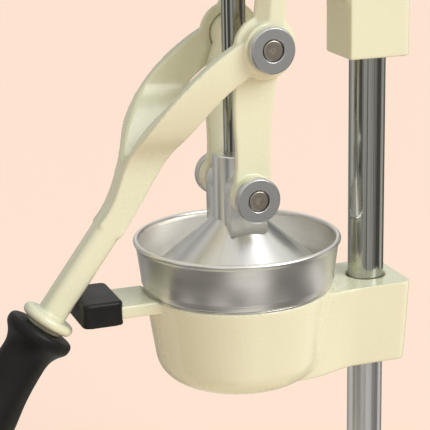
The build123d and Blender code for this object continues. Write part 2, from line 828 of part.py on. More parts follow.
def pivot_washers(y, z, face_x):
    """Two thick turned washers, counterbored for the screw heads."""
    with BuildPart() as washers:
        with BuildSketch(side(face_x)):
            with Locations((y, z)):
                Circle(washer_radius)
        extrude(amount=washer_thickness)
        chamfer(washers.edges(), 0.5)
        with BuildSketch(side(face_x + washer_thickness)):
            with Locations((y, z)):
                Circle(counterbore_radius)
        extrude(amount=-counterbore_depth, mode=Mode.SUBTRACT)
        with BuildSketch(side(face_x)):
            with Locations((y, z)):
                Circle(screw_radius + running_gap)
        extrude(amount=washer_thickness, mode=Mode.SUBTRACT)
        mirror(about=Plane.YZ)
    return washers.part


def pivot_screws(y, z, face_x):
    """Two button-head screws with hexagon sockets, seated in the washers."""
    seat_x = face_x + washer_thickness - counterbore_depth
    with BuildPart() as screws:
        with BuildSketch(side(seat_x)):
            with Locations((y, z)):
                Circle(screw_head_radius)
        extrude(amount=screw_head_height)
        fillet(screws.edges().group_by(Axis.X)[-1], screw_head_round)
        with BuildSketch(side(seat_x)):
            with Locations((y, z)):
                Circle(screw_radius)
        extrude(amount=-(screw_reach + washer_thickness - counterbore_depth))
        with BuildSketch(side(seat_x + screw_head_height)):
            with Locations((y, z)):
                RegularPolygon(hex_across / 2, 6, major_radius=False)
        extrude(amount=-hex_depth, mode=Mode.SUBTRACT)
        mirror(about=Plane.YZ)
    return screws.part


fulcrum_face_x = fork_outer_x + side_gap
pivots = {
    "fulcrum": (fulcrum_y, fulcrum_z, head_boss_x - 10.5, fulcrum_face_x),
    "knee": (knee_y, knee_z, link_inner_x + 0.1, fork_outer_x),
    "ram": (0.0, ram_pivot_z, link_inner_x + 0.1, link_outer_x),
}

# ---------------------------------------------------------------- cup, strainer and funnel
cup_wall_radius = cup_radius - roll_radius
cup_foot_z = holder_top_z + sheet
strainer_flange_z = cup_foot_z + sheet
bevel_height = 4.0

with BuildPart() as juice_funnel:
    with BuildSketch(front(0)):
        with BuildLine():
            Polyline(
                (flange_radius, holder_top_z),
                (flange_radius, holder_top_z + sheet),
                (bowl_rim_radius - bowl_wall - 1 - sheet, holder_top_z + sheet),
                (spout_radius - sheet, funnel_neck_z),
                (spout_radius - sheet, spout_z),
                (spout_radius, spout_z),
                (spout_radius, funnel_neck_z),
                (bowl_rim_radius - bowl_wall - 1, holder_top_z),
                (flange_radius, holder_top_z),
            )
        make_face()
    revolve(axis=cup_axis)

with BuildPart() as strainer_cup:
    with BuildSketch(front(0)):
        with BuildLine():
            Polyline(
                (cup_ledge_radius, cup_foot_z),
                (cup_base_radius - 1.6, cup_foot_z),
                (cup_base_radius, cup_foot_z + bevel_height),
                (cup_base_radius + 0.8, cup_foot_z + bevel_height + 0.6),
                (cup_wall_radius + 0.4, -roll_radius),
                (cup_wall_radius + 0.4 - sheet, -roll_radius),
                (cup_base_radius + 0.8 - sheet, cup_foot_z + bevel_height + 0.6),
                (cup_base_radius - sheet, cup_foot_z + bevel_height),
                (cup_base_radius - 1.6 - sheet, cup_foot_z + sheet),
                (cup_ledge_radius, cup_foot_z + sheet),
                (cup_ledge_radius, cup_foot_z),
            )
        make_face()
        with Locations((cup_wall_radius, -roll_radius)):
            Circle(roll_radius)
    revolve(axis=cup_axis)

strainer_height = cone_under_z - press_gap
strainer_foot_radius = cone_lip_radius - 2.5
strainer_foot_z = strainer_height - cone_slope * (strainer_foot_radius - strainer_top_radius)
slot_middle = (strainer_foot_radius + strainer_top_radius) / 2 + 3

with BuildPart() as strainer_cone:
    with BuildSketch(front(0)):
        with BuildLine():
            Polyline(
                (0, strainer_height),
                (strainer_top_radius, strainer_height),
                (strainer_foot_radius, strainer_foot_z),
                (strainer_foot_radius, strainer_flange_z + sheet),
                (cup_base_radius - 4, strainer_flange_z + sheet),
                (cup_base_radius - 4, strainer_flange_z),
                (strainer_foot_radius - sheet, strainer_flange_z),
                (strainer_foot_radius - sheet, strainer_foot_z - sheet),
                (strainer_top_radius - sheet, strainer_height - 1.6 * sheet),
                (0, strainer_height - 1.6 * sheet),
                (0, strainer_height),
            )
        make_face()
    revolve(axis=cup_axis)
    with BuildSketch(level(strainer_foot_z)):
        with PolarLocations(slot_middle, slot_count):
            SlotOverall(22, 2.2)
    extrude(amount=strainer_height - strainer_foot_z, mode=Mode.SUBTRACT)

# ---------------------------------------------------------------- files
pieces = {
    "base_casting": base_casting.part,
    "rubber_feet": feet.part,
    "foot_screws": foot_screws.part,
    "base_bolt": base_bolt.part,
    "base_bolt_washer": base_bolt_washer.part,
    "lower_column": lower_column.part,
    "upper_column": upper_column.part,
    "cup_holder": cup_holder.part,
    "holder_clamp_screw": holder_clamp_screw.part,
    "stop_bumper": stop_bumper.part,
    "bumper_screw": bumper_screw.part,
    "head_casting": head_casting.part,
    "head_clamp_screw": head_clamp_screw.part,
    "guide_bushes": guide_bushes.part,
    "juice_funnel": juice_funnel.part,
    "strainer_cup": strainer_cup.part,
    "strainer_cone": strainer_cone.part,
    "lever_fork": lever_fork.part,
    "grip": grip.part,
    "link_right": link_right.part,
    "link_left": link_left.part,
    "press_cone": press_cone.part,
    "guide_rod": guide_rod.part,
    "rod_cap": rod_cap.part,
}
for name, (y, z, inner_x, outer_x) in pivots.items():
    pieces[name + "_pins"] = pivot_pins(y, z, inner_x, outer_x)
    pieces[name + "_washers"] = pivot_washers(y, z, outer_x)
    pieces[name + "_screws"] = pivot_screws(y, z, outer_x)

for name, piece in pieces.items():
    piece.label = name
    export_step(piece, f"parts/{name}.step")
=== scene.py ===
import bpy
import json
from math import cos, pi, radians, sin
from mathutils import Matrix, Vector

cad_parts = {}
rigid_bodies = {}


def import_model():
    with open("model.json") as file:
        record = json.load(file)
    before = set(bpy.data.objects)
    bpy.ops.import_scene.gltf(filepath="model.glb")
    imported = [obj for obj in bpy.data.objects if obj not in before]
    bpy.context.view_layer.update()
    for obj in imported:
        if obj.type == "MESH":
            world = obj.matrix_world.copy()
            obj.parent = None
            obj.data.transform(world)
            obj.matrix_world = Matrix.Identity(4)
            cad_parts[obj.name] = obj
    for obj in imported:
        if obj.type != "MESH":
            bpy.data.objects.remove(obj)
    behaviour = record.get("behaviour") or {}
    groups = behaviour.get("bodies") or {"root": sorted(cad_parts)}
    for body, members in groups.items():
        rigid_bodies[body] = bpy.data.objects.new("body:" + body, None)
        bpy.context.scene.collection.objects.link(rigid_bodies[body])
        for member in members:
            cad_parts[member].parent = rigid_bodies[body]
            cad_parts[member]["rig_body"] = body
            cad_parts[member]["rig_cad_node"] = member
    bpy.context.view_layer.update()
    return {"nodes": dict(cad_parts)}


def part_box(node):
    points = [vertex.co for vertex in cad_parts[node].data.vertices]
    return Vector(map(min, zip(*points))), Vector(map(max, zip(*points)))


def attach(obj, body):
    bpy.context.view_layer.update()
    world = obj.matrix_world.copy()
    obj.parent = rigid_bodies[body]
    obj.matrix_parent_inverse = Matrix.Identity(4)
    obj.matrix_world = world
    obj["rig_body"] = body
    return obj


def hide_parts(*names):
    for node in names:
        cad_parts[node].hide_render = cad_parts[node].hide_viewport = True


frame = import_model()
nodes = frame["nodes"]
mm = 0.001

# A hand-lever citrus press: cream enamelled castings, a steel column and guide rod, a spun
# strainer cup and a turned press cone, black rubber where it is touched.
# Places come from the frame's boxes. +Z is up, +Y points to the column.

cup_low, cup_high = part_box("strainer_cup")
rim = Vector(((cup_low.x + cup_high.x) / 2, (cup_low.y + cup_high.y) / 2, cup_high.z))


# ---------------------------------------------------------------- modelling helpers
def select_only(piece):
    """Leaves one object selected and active, in object mode."""
    bpy.ops.object.select_all(action="DESELECT")
    piece.select_set(True)
    bpy.context.view_layer.objects.active = piece


def apply_modifier(piece, kind, **settings):
    """Adds a modifier with these settings and applies it."""
    select_only(piece)
    modifier = piece.modifiers.new(kind.title(), kind)
    for key, value in settings.items():
        setattr(modifier, key, value)
    bpy.ops.object.modifier_apply(modifier=modifier.name)


def clean(piece, edge_angle=35):
    """Merges doubles, turns the faces outwards and shades the round stretches smooth."""
    select_only(piece)
    bpy.ops.object.mode_set(mode="EDIT")
    bpy.ops.mesh.select_all(action="SELECT")
    bpy.ops.mesh.remove_doubles(threshold=0.00001)
    bpy.ops.mesh.normals_make_consistent(inside=False)
    bpy.ops.object.mode_set(mode="OBJECT")
    bpy.ops.object.shade_smooth_by_angle(angle=radians(edge_angle))


def place(piece):
    """Puts the piece's place and turn into its mesh, so that its object sits at the origin."""
    select_only(piece)
    bpy.ops.object.transform_apply(location=True, rotation=True, scale=True)


def arc(centre_radius, centre_height, radius, start, end, steps=8):
    """Rings along a round stretch of a turned profile, angles in degrees from straight out."""
    rings = []
    for step in range(steps + 1):
        angle = radians(start + (end - start) * step / steps)
        rings.append((centre_radius + radius * cos(angle), centre_height + radius * sin(angle)))
    return rings


def turned(name, rings, centre, along="Z", segments=128, edge=0.0):
    """A turned piece: a circle drawn out ring by ring (radius, height) along its axis."""
    bpy.ops.object.select_all(action="DESELECT")
    pole = 0.000005
    last_radius = max(rings[0][0], pole)
    last_height = rings[0][1]
    bpy.ops.mesh.primitive_circle_add(vertices=segments, radius=1, location=(0, 0, 0))
    piece = bpy.context.object
    piece.name = name
    bpy.ops.object.mode_set(mode="EDIT")
    bpy.ops.mesh.select_all(action="SELECT")
    bpy.ops.transform.resize(value=(last_radius, last_radius, 1), center_override=(0, 0, 0))
    bpy.ops.transform.translate(value=(0, 0, last_height))
    for radius, height in rings[1:]:
        radius = max(radius, pole)
        bpy.ops.mesh.extrude_edges_move(
            TRANSFORM_OT_translate={"value": (0, 0, height - last_height)}
        )
        ratio = radius / last_radius
        bpy.ops.transform.resize(value=(ratio, ratio, 1), center_override=(0, 0, height))
        last_radius = radius
        last_height = height
    bpy.ops.object.mode_set(mode="OBJECT")
    clean(piece)
    if edge:
        apply_modifier(piece, "BEVEL", width=edge, segments=3, limit_method="ANGLE", angle_limit=radians(30))
        bpy.ops.object.shade_smooth_by_angle(angle=radians(35))
    if along == "X":
        piece.rotation_euler = (0, pi / 2, 0)
    piece.location = centre
    place(piece)
    return piece


def mirrored_pair(piece):
    """Adds the same piece on the other side of the middle plane."""
    select_only(piece)
    bpy.ops.object.duplicate()
    other = bpy.context.object
    bpy.ops.object.mode_set(mode="EDIT")
    bpy.ops.mesh.select_all(action="SELECT")
    bpy.ops.transform.resize(value=(-1, 1, 1), center_override=(0, 0, 0))
    bpy.ops.mesh.normals_make_consistent(inside=False)
    bpy.ops.object.mode_set(mode="OBJECT")
    piece.select_set(True)
    bpy.context.view_layer.objects.active = piece
    other.select_set(True)
    bpy.ops.object.join()
    return piece


def casting(name, node, grain, passes):
    """A softened copy of a CAD piece: its sharp edges are rubbed round as on a cast part."""
    select_only(nodes[node])
    bpy.ops.object.duplicate()
    piece = bpy.context.object
    piece.name = name
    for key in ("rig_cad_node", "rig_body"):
        if key in piece:
            del piece[key]
    piece.parent = None
    piece.data.materials.clear()
    clean(piece)
    apply_modifier(piece, "REMESH", mode="VOXEL", voxel_size=grain, use_smooth_shade=True)
    apply_modifier(piece, "SMOOTH", factor=0.5, iterations=passes)
    bpy.ops.object.shade_smooth()
    return piece


def finish_piece(piece, body, node, material):
    """Hangs a piece on its body in place of a CAD node and gives it its finish."""
    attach(piece, body)
    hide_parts(node)
    piece.data.materials.clear()
    piece.data.materials.append(material)


# ---------------------------------------------------------------- node groups
def new_group(name, inputs, outputs):
    """A shader node group with named sockets."""
    tree = bpy.data.node_groups.new(name, "ShaderNodeTree")
    for label, kind, value in inputs:
        socket = tree.interface.new_socket(name=label, in_out="INPUT", socket_type=kind)
        if value is not None:
            socket.default_value = value
    for label, kind in outputs:
        tree.interface.new_socket(name=label, in_out="OUTPUT", socket_type=kind)
    start = tree.nodes.new("NodeGroupInput")
    end = tree.nodes.new("NodeGroupOutput")
    return tree, start, end


def math_node(tree, operation, first, second=None):
    """A Math node with its inputs linked or set."""
    node = tree.nodes.new("ShaderNodeMath")
    node.operation = operation
    for socket, value in zip(node.inputs, (first, second)):
        if value is None:
            continue
        if isinstance(value, (int, float)):
            socket.default_value = value
        else:
            tree.links.new(value, socket)
    return node.outputs[0]


def build_mottle():
    """Two colours and two roughnesses, mixed by a fine and a broad noise."""
    tree, start, end = new_group(
        "mottle",
        [
            ("Vector", "NodeSocketVector", None),
            ("Fine", "NodeSocketFloat", 400.0),
            ("Broad", "NodeSocketFloat", 25.0),
            ("Balance", "NodeSocketFloat", 0.5),
            ("First Color", "NodeSocketColor", (0.8, 0.8, 0.8, 1)),
            ("Second Color", "NodeSocketColor", (0.5, 0.5, 0.5, 1)),
            ("First Roughness", "NodeSocketFloat", 0.3),
            ("Second Roughness", "NodeSocketFloat", 0.4),
        ],
        [("Color", "NodeSocketColor"), ("Roughness", "NodeSocketFloat"), ("Height", "NodeSocketFloat")],
    )
    links = tree.links
    fine = tree.nodes.new("ShaderNodeTexNoise")
    fine.inputs["Detail"].default_value = 4
    broad = tree.nodes.new("ShaderNodeTexNoise")
    broad.inputs["Detail"].default_value = 3
    for noise, label in ((fine, "Fine"), (broad, "Broad")):
        links.new(start.outputs["Vector"], noise.inputs["Vector"])
        links.new(start.outputs[label], noise.inputs["Scale"])
    share = tree.nodes.new("ShaderNodeMix")
    links.new(start.outputs["Balance"], share.inputs["Factor"])
    links.new(fine.outputs["Fac"], share.inputs["A"])
    links.new(broad.outputs["Fac"], share.inputs["B"])
    spread = tree.nodes.new("ShaderNodeMapRange")
    spread.interpolation_type = "SMOOTHSTEP"
    spread.inputs["From Min"].default_value = 0.34
    spread.inputs["From Max"].default_value = 0.66
    links.new(share.outputs["Result"], spread.inputs["Value"])
    colour = tree.nodes.new("ShaderNodeMix")
    colour.data_type = "RGBA"
    links.new(spread.outputs["Result"], colour.inputs["Factor"])
    links.new(start.outputs["First Color"], colour.inputs["A"])
    links.new(start.outputs["Second Color"], colour.inputs["B"])
    rough = tree.nodes.new("ShaderNodeMix")
    links.new(spread.outputs["Result"], rough.inputs["Factor"])
    links.new(start.outputs["First Roughness"], rough.inputs["A"])
    links.new(start.outputs["Second Roughness"], rough.inputs["B"])
    links.new(colour.outputs["Result"], end.inputs["Color"])
    links.new(rough.outputs["Result"], end.inputs["Roughness"])
    links.new(fine.outputs["Fac"], end.inputs["Height"])
    return tree


def build_round_about():
    """Object coordinates turned into radius, angle and height about an upright axis."""
    tree, start, end = new_group(
        "round_about", [("Vector", "NodeSocketVector", None)], [("Vector", "NodeSocketVector")]
    )
    parts = tree.nodes.new("ShaderNodeSeparateXYZ")
    tree.links.new(start.outputs["Vector"], parts.inputs["Vector"])
    square_x = math_node(tree, "MULTIPLY", parts.outputs["X"], parts.outputs["X"])
    square_y = math_node(tree, "MULTIPLY", parts.outputs["Y"], parts.outputs["Y"])
    radius = math_node(tree, "SQRT", math_node(tree, "ADD", square_x, square_y))
    angle = math_node(tree, "ARCTAN2", parts.outputs["Y"], parts.outputs["X"])
    whole = tree.nodes.new("ShaderNodeCombineXYZ")
    tree.links.new(radius, whole.inputs["X"])
    tree.links.new(angle, whole.inputs["Y"])
    tree.links.new(parts.outputs["Z"], whole.inputs["Z"])
    tree.links.new(whole.outputs["Vector"], end.inputs["Vector"])
    return tree


mottle = build_mottle()
round_about = build_round_about()


def add_group(tree, group, **values):
    """Places a group in a material and sets its named inputs."""
    node = tree.nodes.new("ShaderNodeGroup")
    node.node_tree = group
    for label, value in values.items():
        node.inputs[label.replace("_", " ")].default_value = value
    return node


def make_material(name, pattern, bump, metallic=0.0, coat=0.0, coat_roughness=0.1, specular=0.5,
                  stretch=(1, 1, 1), axis_at=None, axis_turn=(0, 0, 0)):
    """A Principled material whose colour, roughness and bump come from the mottle group.

    With axis_at the pattern is laid round that point's axis as radius, angle and height."""
    material = bpy.data.materials.new(name)
    material.use_nodes = True
    tree = material.node_tree
    links = tree.links
    shader = tree.nodes["Principled BSDF"]
    shader.inputs["Metallic"].default_value = metallic
    shader.inputs["Coat Weight"].default_value = coat
    shader.inputs["Coat Roughness"].default_value = coat_roughness
    shader.inputs["Specular IOR Level"].default_value = specular
    place_node = tree.nodes.new("ShaderNodeTexCoord")
    vector = place_node.outputs["Object"]
    if axis_at is not None:
        centre = tree.nodes.new("ShaderNodeMapping")
        centre.vector_type = "TEXTURE"
        centre.inputs["Location"].default_value = axis_at
        centre.inputs["Rotation"].default_value = axis_turn
        links.new(vector, centre.inputs["Vector"])
        polar = add_group(tree, round_about)
        links.new(centre.outputs["Vector"], polar.inputs["Vector"])
        vector = polar.outputs["Vector"]
    mapping = tree.nodes.new("ShaderNodeMapping")
    mapping.inputs["Scale"].default_value = stretch
    links.new(vector, mapping.inputs["Vector"])
    effect = add_group(tree, mottle, **pattern)
    links.new(mapping.outputs["Vector"], effect.inputs["Vector"])
    links.new(effect.outputs["Color"], shader.inputs["Base Color"])
    links.new(effect.outputs["Roughness"], shader.inputs["Roughness"])
    relief = tree.nodes.new("ShaderNodeBump")
    relief.inputs["Strength"].default_value = bump[0]
    relief.inputs["Distance"].default_value = bump[1]
    links.new(effect.outputs["Height"], relief.inputs["Height"])
    links.new(relief.outputs["Normal"], shader.inputs["Normal"])
    return material


def pattern(fine, broad, balance, first, second, rough_first, rough_second):
    """The mottle group's values, by the names of its sockets."""
    return {
        "Fine": fine,
        "Broad": broad,
        "Balance": balance,
        "First_Color": (*first, 1),
        "Second_Color": (*second, 1),
        "First_Roughness": rough_first,
        "Second_Roughness": rough_second,
    }


# ---------------------------------------------------------------- finishes
cup_axis_at = (rim.x, rim.y, 0)
column_low, column_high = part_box("upper_column")
column_axis_at = ((column_low.x + column_high.x) / 2, (column_low.y + column_high.y) / 2, 0)

enamel = make_material(
    "cream_enamel",
    pattern(260, 16, 0.7, (0.80, 0.80, 0.585), (0.775, 0.772, 0.56), 0.22, 0.30),
    bump=(0.03, 0.0002), coat=0.35, coat_roughness=0.12,
)
rubber = make_material(
    "black_rubber",
    pattern(900, 60, 0.4, (0.008, 0.008, 0.008), (0.014, 0.014, 0.013), 0.38, 0.5),
    bump=(0.12, 0.0002), specular=0.3,
)
grip_rubber = make_material(
    "black_grip",
    pattern(1400, 40, 0.4, (0.007, 0.007, 0.007), (0.012, 0.012, 0.011), 0.40, 0.52),
    bump=(0.10, 0.0002), specular=0.25,
)
spun_steel = make_material(
    "spun_steel",
    pattern(1, 0.15, 0.6, (0.93, 0.91, 0.87), (0.88, 0.86, 0.82), 0.30, 0.36),
    bump=(0.01, 0.00001), metallic=1.0, stretch=(900, 0.8, 900), axis_at=cup_axis_at,
)
cone_steel = make_material(
    "brushed_cone",
    pattern(1, 0.12, 0.5, (0.86, 0.86, 0.84), (0.78, 0.78, 0.76), 0.28, 0.36),
    bump=(0.05, 0.00003), metallic=1.0, stretch=(40, 60, 40), axis_at=cup_axis_at,
)
polished_rod = make_material(
    "polished_rod",
    pattern(1, 0.1, 0.5, (0.44, 0.44, 0.41), (0.40, 0.40, 0.37), 0.06, 0.12),
    bump=(0.03, 0.00002), metallic=1.0, stretch=(1, 90, 12), axis_at=cup_axis_at,
)
polished_column = make_material(
    "polished_column",
    pattern(1, 0.1, 0.5, (0.50, 0.505, 0.47), (0.46, 0.465, 0.43), 0.10, 0.16),
    bump=(0.03, 0.00002), metallic=1.0, stretch=(1, 60, 40), axis_at=column_axis_at,
)
brushed_column = make_material(
    "brushed_column",
    pattern(1, 0.1, 0.5, (0.94, 0.935, 0.92), (0.88, 0.875, 0.86), 0.28, 0.36),
    bump=(0.05, 0.00002), metallic=1.0, stretch=(1, 120, 14), axis_at=column_axis_at,
)
zinc = make_material(
    "zinc_plate",
    pattern(700, 90, 0.5, (0.62, 0.62, 0.60), (0.48, 0.48, 0.47), 0.28, 0.42),
    bump=(0.08, 0.0001), metallic=1.0,
)
black_oxide = make_material(
    "black_oxide",
    pattern(700, 90, 0.5, (0.05, 0.05, 0.05), (0.09, 0.09, 0.09), 0.35, 0.5),
    bump=(0.08, 0.0001), metallic=1.0,
)
bronze = make_material(
    "sintered_bronze",
    pattern(1600, 120, 0.4, (0.58, 0.40, 0.20), (0.42, 0.29, 0.15), 0.34, 0.5),
    bump=(0.15, 0.0002), metallic=1.0,
)
nickel = make_material(
    "nickel_screw",
    pattern(900, 120, 0.5, (0.62, 0.56, 0.47), (0.46, 0.41, 0.34), 0.24, 0.36),
    bump=(0.06, 0.0001), metallic=1.0,
)


def middle(node):
    """The centre of a CAD node's box."""
    low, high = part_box(node)
    return (low + high) / 2


def turned_face(name, node):
    """Steel faced on a lathe: fine rings about the axis of a pair of washers."""
    centre = middle(node)
    return make_material(
        name,
        pattern(1, 0.1, 0.4, (0.78, 0.785, 0.78), (0.60, 0.605, 0.60), 0.30, 0.40),
        bump=(0.12, 0.00004), metallic=1.0, stretch=(2600, 2, 300),
        axis_at=(0, centre.y, centre.z), axis_turn=(0, pi / 2, 0),
    )


# ---------------------------------------------------------------- castings
cast_pieces = [
    ("lever_casting", "lever_fork", "lever", "cream_paint", enamel, 0.0009, 6),
    ("holder_casting", "cup_holder", "stand", "cream_paint", enamel, 0.0010, 6),
    ("head_block", "head_casting", "stand", "cream_paint", enamel, 0.0010, 4),
    ("base_plate", "base_casting", "stand", "cream_paint", enamel, 0.0014, 6),
    ("right_link", "link_right", "links", "cream_paint", enamel, 0.0007, 6),
    ("left_link", "link_left", "links", "cream_paint", enamel, 0.0007, 6),
    ("bumper_block", "stop_bumper", "stand", "black_rubber", rubber, 0.0005, 8),
    ("handle_grip", "grip", "lever", "black_grip", grip_rubber, 0.0008, 6),
]
for name, node, body, slot, finish, grain, passes in cast_pieces:
    finish_piece(casting(name, node, grain, passes), body, node, finish)


# ---------------------------------------------------------------- turned pieces
def make_strainer_cup():
    """The spun cup: a rolled rim, a slightly tapered wall, a bead and a bevelled foot."""
    radius = (cup_high.x - cup_low.x) / 2
    depth = cup_high.z - cup_low.z
    roll = 1.6 * mm
    sheet = 0.9 * mm
    wall = radius - roll + 0.4 * mm
    foot = 57 * mm
    ledge = 46.2 * mm
    rings = [(ledge, -depth), (foot - 2.2 * mm, -depth)]
    rings += arc(foot - 2.2 * mm, -depth + 2.4 * mm, 2.4 * mm, -80, -25, 4)
    rings += [(foot + 0.1 * mm, -depth + 3.6 * mm), (foot + 0.8 * mm, -depth + 3.9 * mm)]
    rings += [(foot + 1.0 * mm, -depth + 4.3 * mm), (foot + 0.9 * mm, -depth + 5.0 * mm)]
    rings += [(wall - 0.3 * mm, -2.6 * roll)]
    rings += arc(radius - roll, -roll, roll, -60, 205, 20)
    rings += [(wall - sheet - 0.3 * mm, -2.8 * roll), (foot - sheet + 0.6 * mm, -depth + 5 * mm)]
    rings += [(foot - sheet - 2.0 * mm, -depth + sheet), (ledge, -depth + sheet), rings[0]]
    return turned("spun_cup", rings, rim, segments=192)


def make_press_cone():
    """The cone, its neck and the lugs that carry the lower pivots."""
    low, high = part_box("press_cone")
    centre = Vector((rim.x, rim.y, 0))
    neck = 14 * mm
    base = (high.x - low.x) / 2
    bevel = 0.7 * mm
    slope = 0.854
    base_rise = low.z + 3 * mm
    shoulder = base_rise + slope * (base - neck)
    bore = 7.02 * mm
    rings = [(bore, high.z - 6 * mm), (bore, high.z - 0.4 * mm), (bore + 0.4 * mm, high.z)]
    rings += [(neck - bevel, high.z), (neck, high.z - bevel), (neck, shoulder + 0.5 * mm)]
    rings += [(neck + 0.5 * mm, shoulder - 0.3 * mm), (base - 0.4 * mm, base_rise + 0.4 * mm)]
    rings += [(base, base_rise), (base, low.z + 0.3 * mm), (base - 0.3 * mm, low.z)]
    rings += [(base - 3 * mm, low.z), (base - 3 * mm, low.z + 1 * mm), (9 * mm, shoulder - 2.3 * mm)]
    rings += [(0, shoulder - 2.3 * mm)]
    cone = turned("turned_cone", rings, centre, segments=192)
    pivot = middle("ram_pins")
    lugs = turned(
        "lugs", [(0, 10 * mm), (11.5 * mm, 10 * mm), (11.5 * mm, 21.5 * mm), (0, 21.5 * mm)],
        (0, pivot.y, pivot.z), along="X", segments=96, edge=0.6 * mm,
    )
    bpy.ops.object.select_all(action="DESELECT")
    drop = pivot.z - (shoulder - 6.5 * mm)
    bpy.ops.mesh.primitive_cube_add(size=1, location=(15.75 * mm, pivot.y, pivot.z - drop / 2))
    web = bpy.context.object
    web.scale = (11.5 * mm, 23 * mm, drop)
    place(web)
    apply_modifier(web, "BEVEL", width=0.6 * mm, segments=2)
    bpy.ops.object.shade_smooth_by_angle(angle=radians(35))
    select_only(lugs)
    web.select_set(True)
    bpy.ops.object.join()
    lugs = mirrored_pair(lugs)
    select_only(cone)
    lugs.select_set(True)
    bpy.ops.object.join()
    return cone


def make_rod(name, node, edge):
    """A round bar between the ends of its CAD node."""
    low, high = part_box(node)
    radius = (high.x - low.x) / 2
    rings = [(0, low.z), (radius - edge, low.z), (radius, low.z + edge)]
    rings += [(radius, high.z - edge), (radius - edge, high.z), (0, high.z)]
    return turned(name, rings, ((low.x + high.x) / 2, (low.y + high.y) / 2, 0), segments=128)


def make_washers(name, node):
    """A pair of thick washers with a chamfered edge, counterbored for a screw head."""
    low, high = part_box(node)
    centre = (low + high) / 2
    radius = (high.z - low.z) / 2
    outer = high.x
    thickness = 5.5 * mm
    inner = outer - thickness
    well = 6.4 * mm
    well_floor = outer - 3.7 * mm
    hole = 3.05 * mm
    rings = [(hole, inner), (radius - 0.7 * mm, inner), (radius, inner + 0.6 * mm)]
    rings += [(radius, outer - 0.9 * mm), (radius - 0.8 * mm, outer), (well + 0.3 * mm, outer)]
    rings += [(well, outer - 0.3 * mm), (well, well_floor), (hole, well_floor)]
    rings += [rings[0]]
    piece = turned(name, rings, (0, centre.y, centre.z), along="X", segments=128, edge=0.12 * mm)
    return mirrored_pair(piece)


def make_screws(name, node):
    """A pair of button-head screws with a hexagon socket."""
    low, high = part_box(node)
    centre = (low + high) / 2
    radius = (high.z - low.z) / 2
    top = high.x
    head_height = 3.3 * mm
    seat = top - head_height
    shank = 3 * mm
    tip = seat - 10.8 * mm
    rings = [(0, tip), (shank, tip), (shank, seat)]
    soft = 0.7 * mm
    rings += [(radius, seat), (radius, top - soft)]
    rings += arc(radius - soft, top - soft, soft, 15, 90, 6)
    rings += [(0, top)]
    piece = turned(name, rings, (0, centre.y, centre.z), along="X", segments=96)
    bpy.ops.object.select_all(action="DESELECT")
    bpy.ops.mesh.primitive_cylinder_add(
        vertices=6, radius=2.31 * mm, depth=4.4 * mm,
        location=(top, centre.y, centre.z), rotation=(0.25, pi / 2, 0),
    )
    socket = bpy.context.object
    apply_modifier(piece, "BOOLEAN", operation="DIFFERENCE", object=socket, solver="EXACT")
    bpy.data.objects.remove(socket)
    select_only(piece)
    bpy.ops.object.shade_smooth_by_angle(angle=radians(35))
    return mirrored_pair(piece)


def make_funnel():
    """The drip funnel under the cup, with its spout."""
    low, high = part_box("juice_funnel")
    flange = (high.x - low.x) / 2
    sheet = 1 * mm
    neck = low.z + 15 * mm
    spout = 10.5 * mm
    mouth = 50.5 * mm
    rings = [(spout - sheet, low.z), (spout, low.z), (spout, neck), (mouth, high.z - sheet)]
    rings += [(flange, high.z - sheet), (flange, high.z), (mouth - sheet, high.z)]
    rings += [(spout - sheet, neck), rings[0]]
    return turned("drip_funnel", rings, (rim.x, rim.y, 0), segments=128, edge=0.2 * mm)


def make_cap():
    """The button on top of the guide rod."""
    low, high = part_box("rod_cap")
    radius = (high.x - low.x) / 2
    soft = 3 * mm
    rings = [(0, low.z), (radius - 0.4 * mm, low.z), (radius, low.z + 0.4 * mm)]
    rings += arc(radius - soft, high.z - soft, soft, 0, 90, 8)
    rings += [(0, high.z)]
    return turned("top_cap", rings, (rim.x, rim.y, 0), segments=96)


finish_piece(make_strainer_cup(), "stand", "strainer_cup", spun_steel)
finish_piece(make_press_cone(), "ram", "press_cone", cone_steel)
finish_piece(make_funnel(), "stand", "juice_funnel", spun_steel)
finish_piece(make_cap(), "ram", "rod_cap", enamel)
round_bars = [
    ("long_rod", "guide_rod", "ram", "polished_rod", polished_rod, 0.5 * mm),
    ("column_top", "upper_column", "stand", "polished_column", polished_column, 0.8 * mm),
    ("column_foot", "lower_column", "stand", "brushed_column", brushed_column, 0.5 * mm),
]
for name, node, body, slot, finish, edge in round_bars:
    finish_piece(make_rod(name, node, edge), body, node, finish)
for pivot, body in (("fulcrum", "stand"), ("knee", "lever"), ("ram", "links")):
    washers = pivot + "_washers"
    screws = pivot + "_screws"
    finish_piece(make_washers(pivot + "_discs", washers), body, washers,
                 turned_face(pivot + "_turned_steel", washers))
    finish_piece(make_screws(pivot + "_bolts", screws), body, screws, nickel)

# ---------------------------------------------------------------- CAD pieces that stay
kept_finishes = {
    "rubber_feet": rubber,
    "foot_screws": zinc,
    "base_bolt": zinc,
    "base_bolt_washer": zinc,
    "holder_clamp_screw": black_oxide,
    "bumper_screw": zinc,
    "head_clamp_screw": black_oxide,
    "guide_bushes": bronze,
    "strainer_cone": spun_steel,
    "fulcrum_pins": zinc,
    "knee_pins": zinc,
    "ram_pins": zinc,
}
for node, finish in kept_finishes.items():
    nodes[node].data.materials.clear()
    nodes[node].data.materials.append(finish)

# ---------------------------------------------------------------- floor, light and camera
peach = (1.0, 0.783, 0.645)


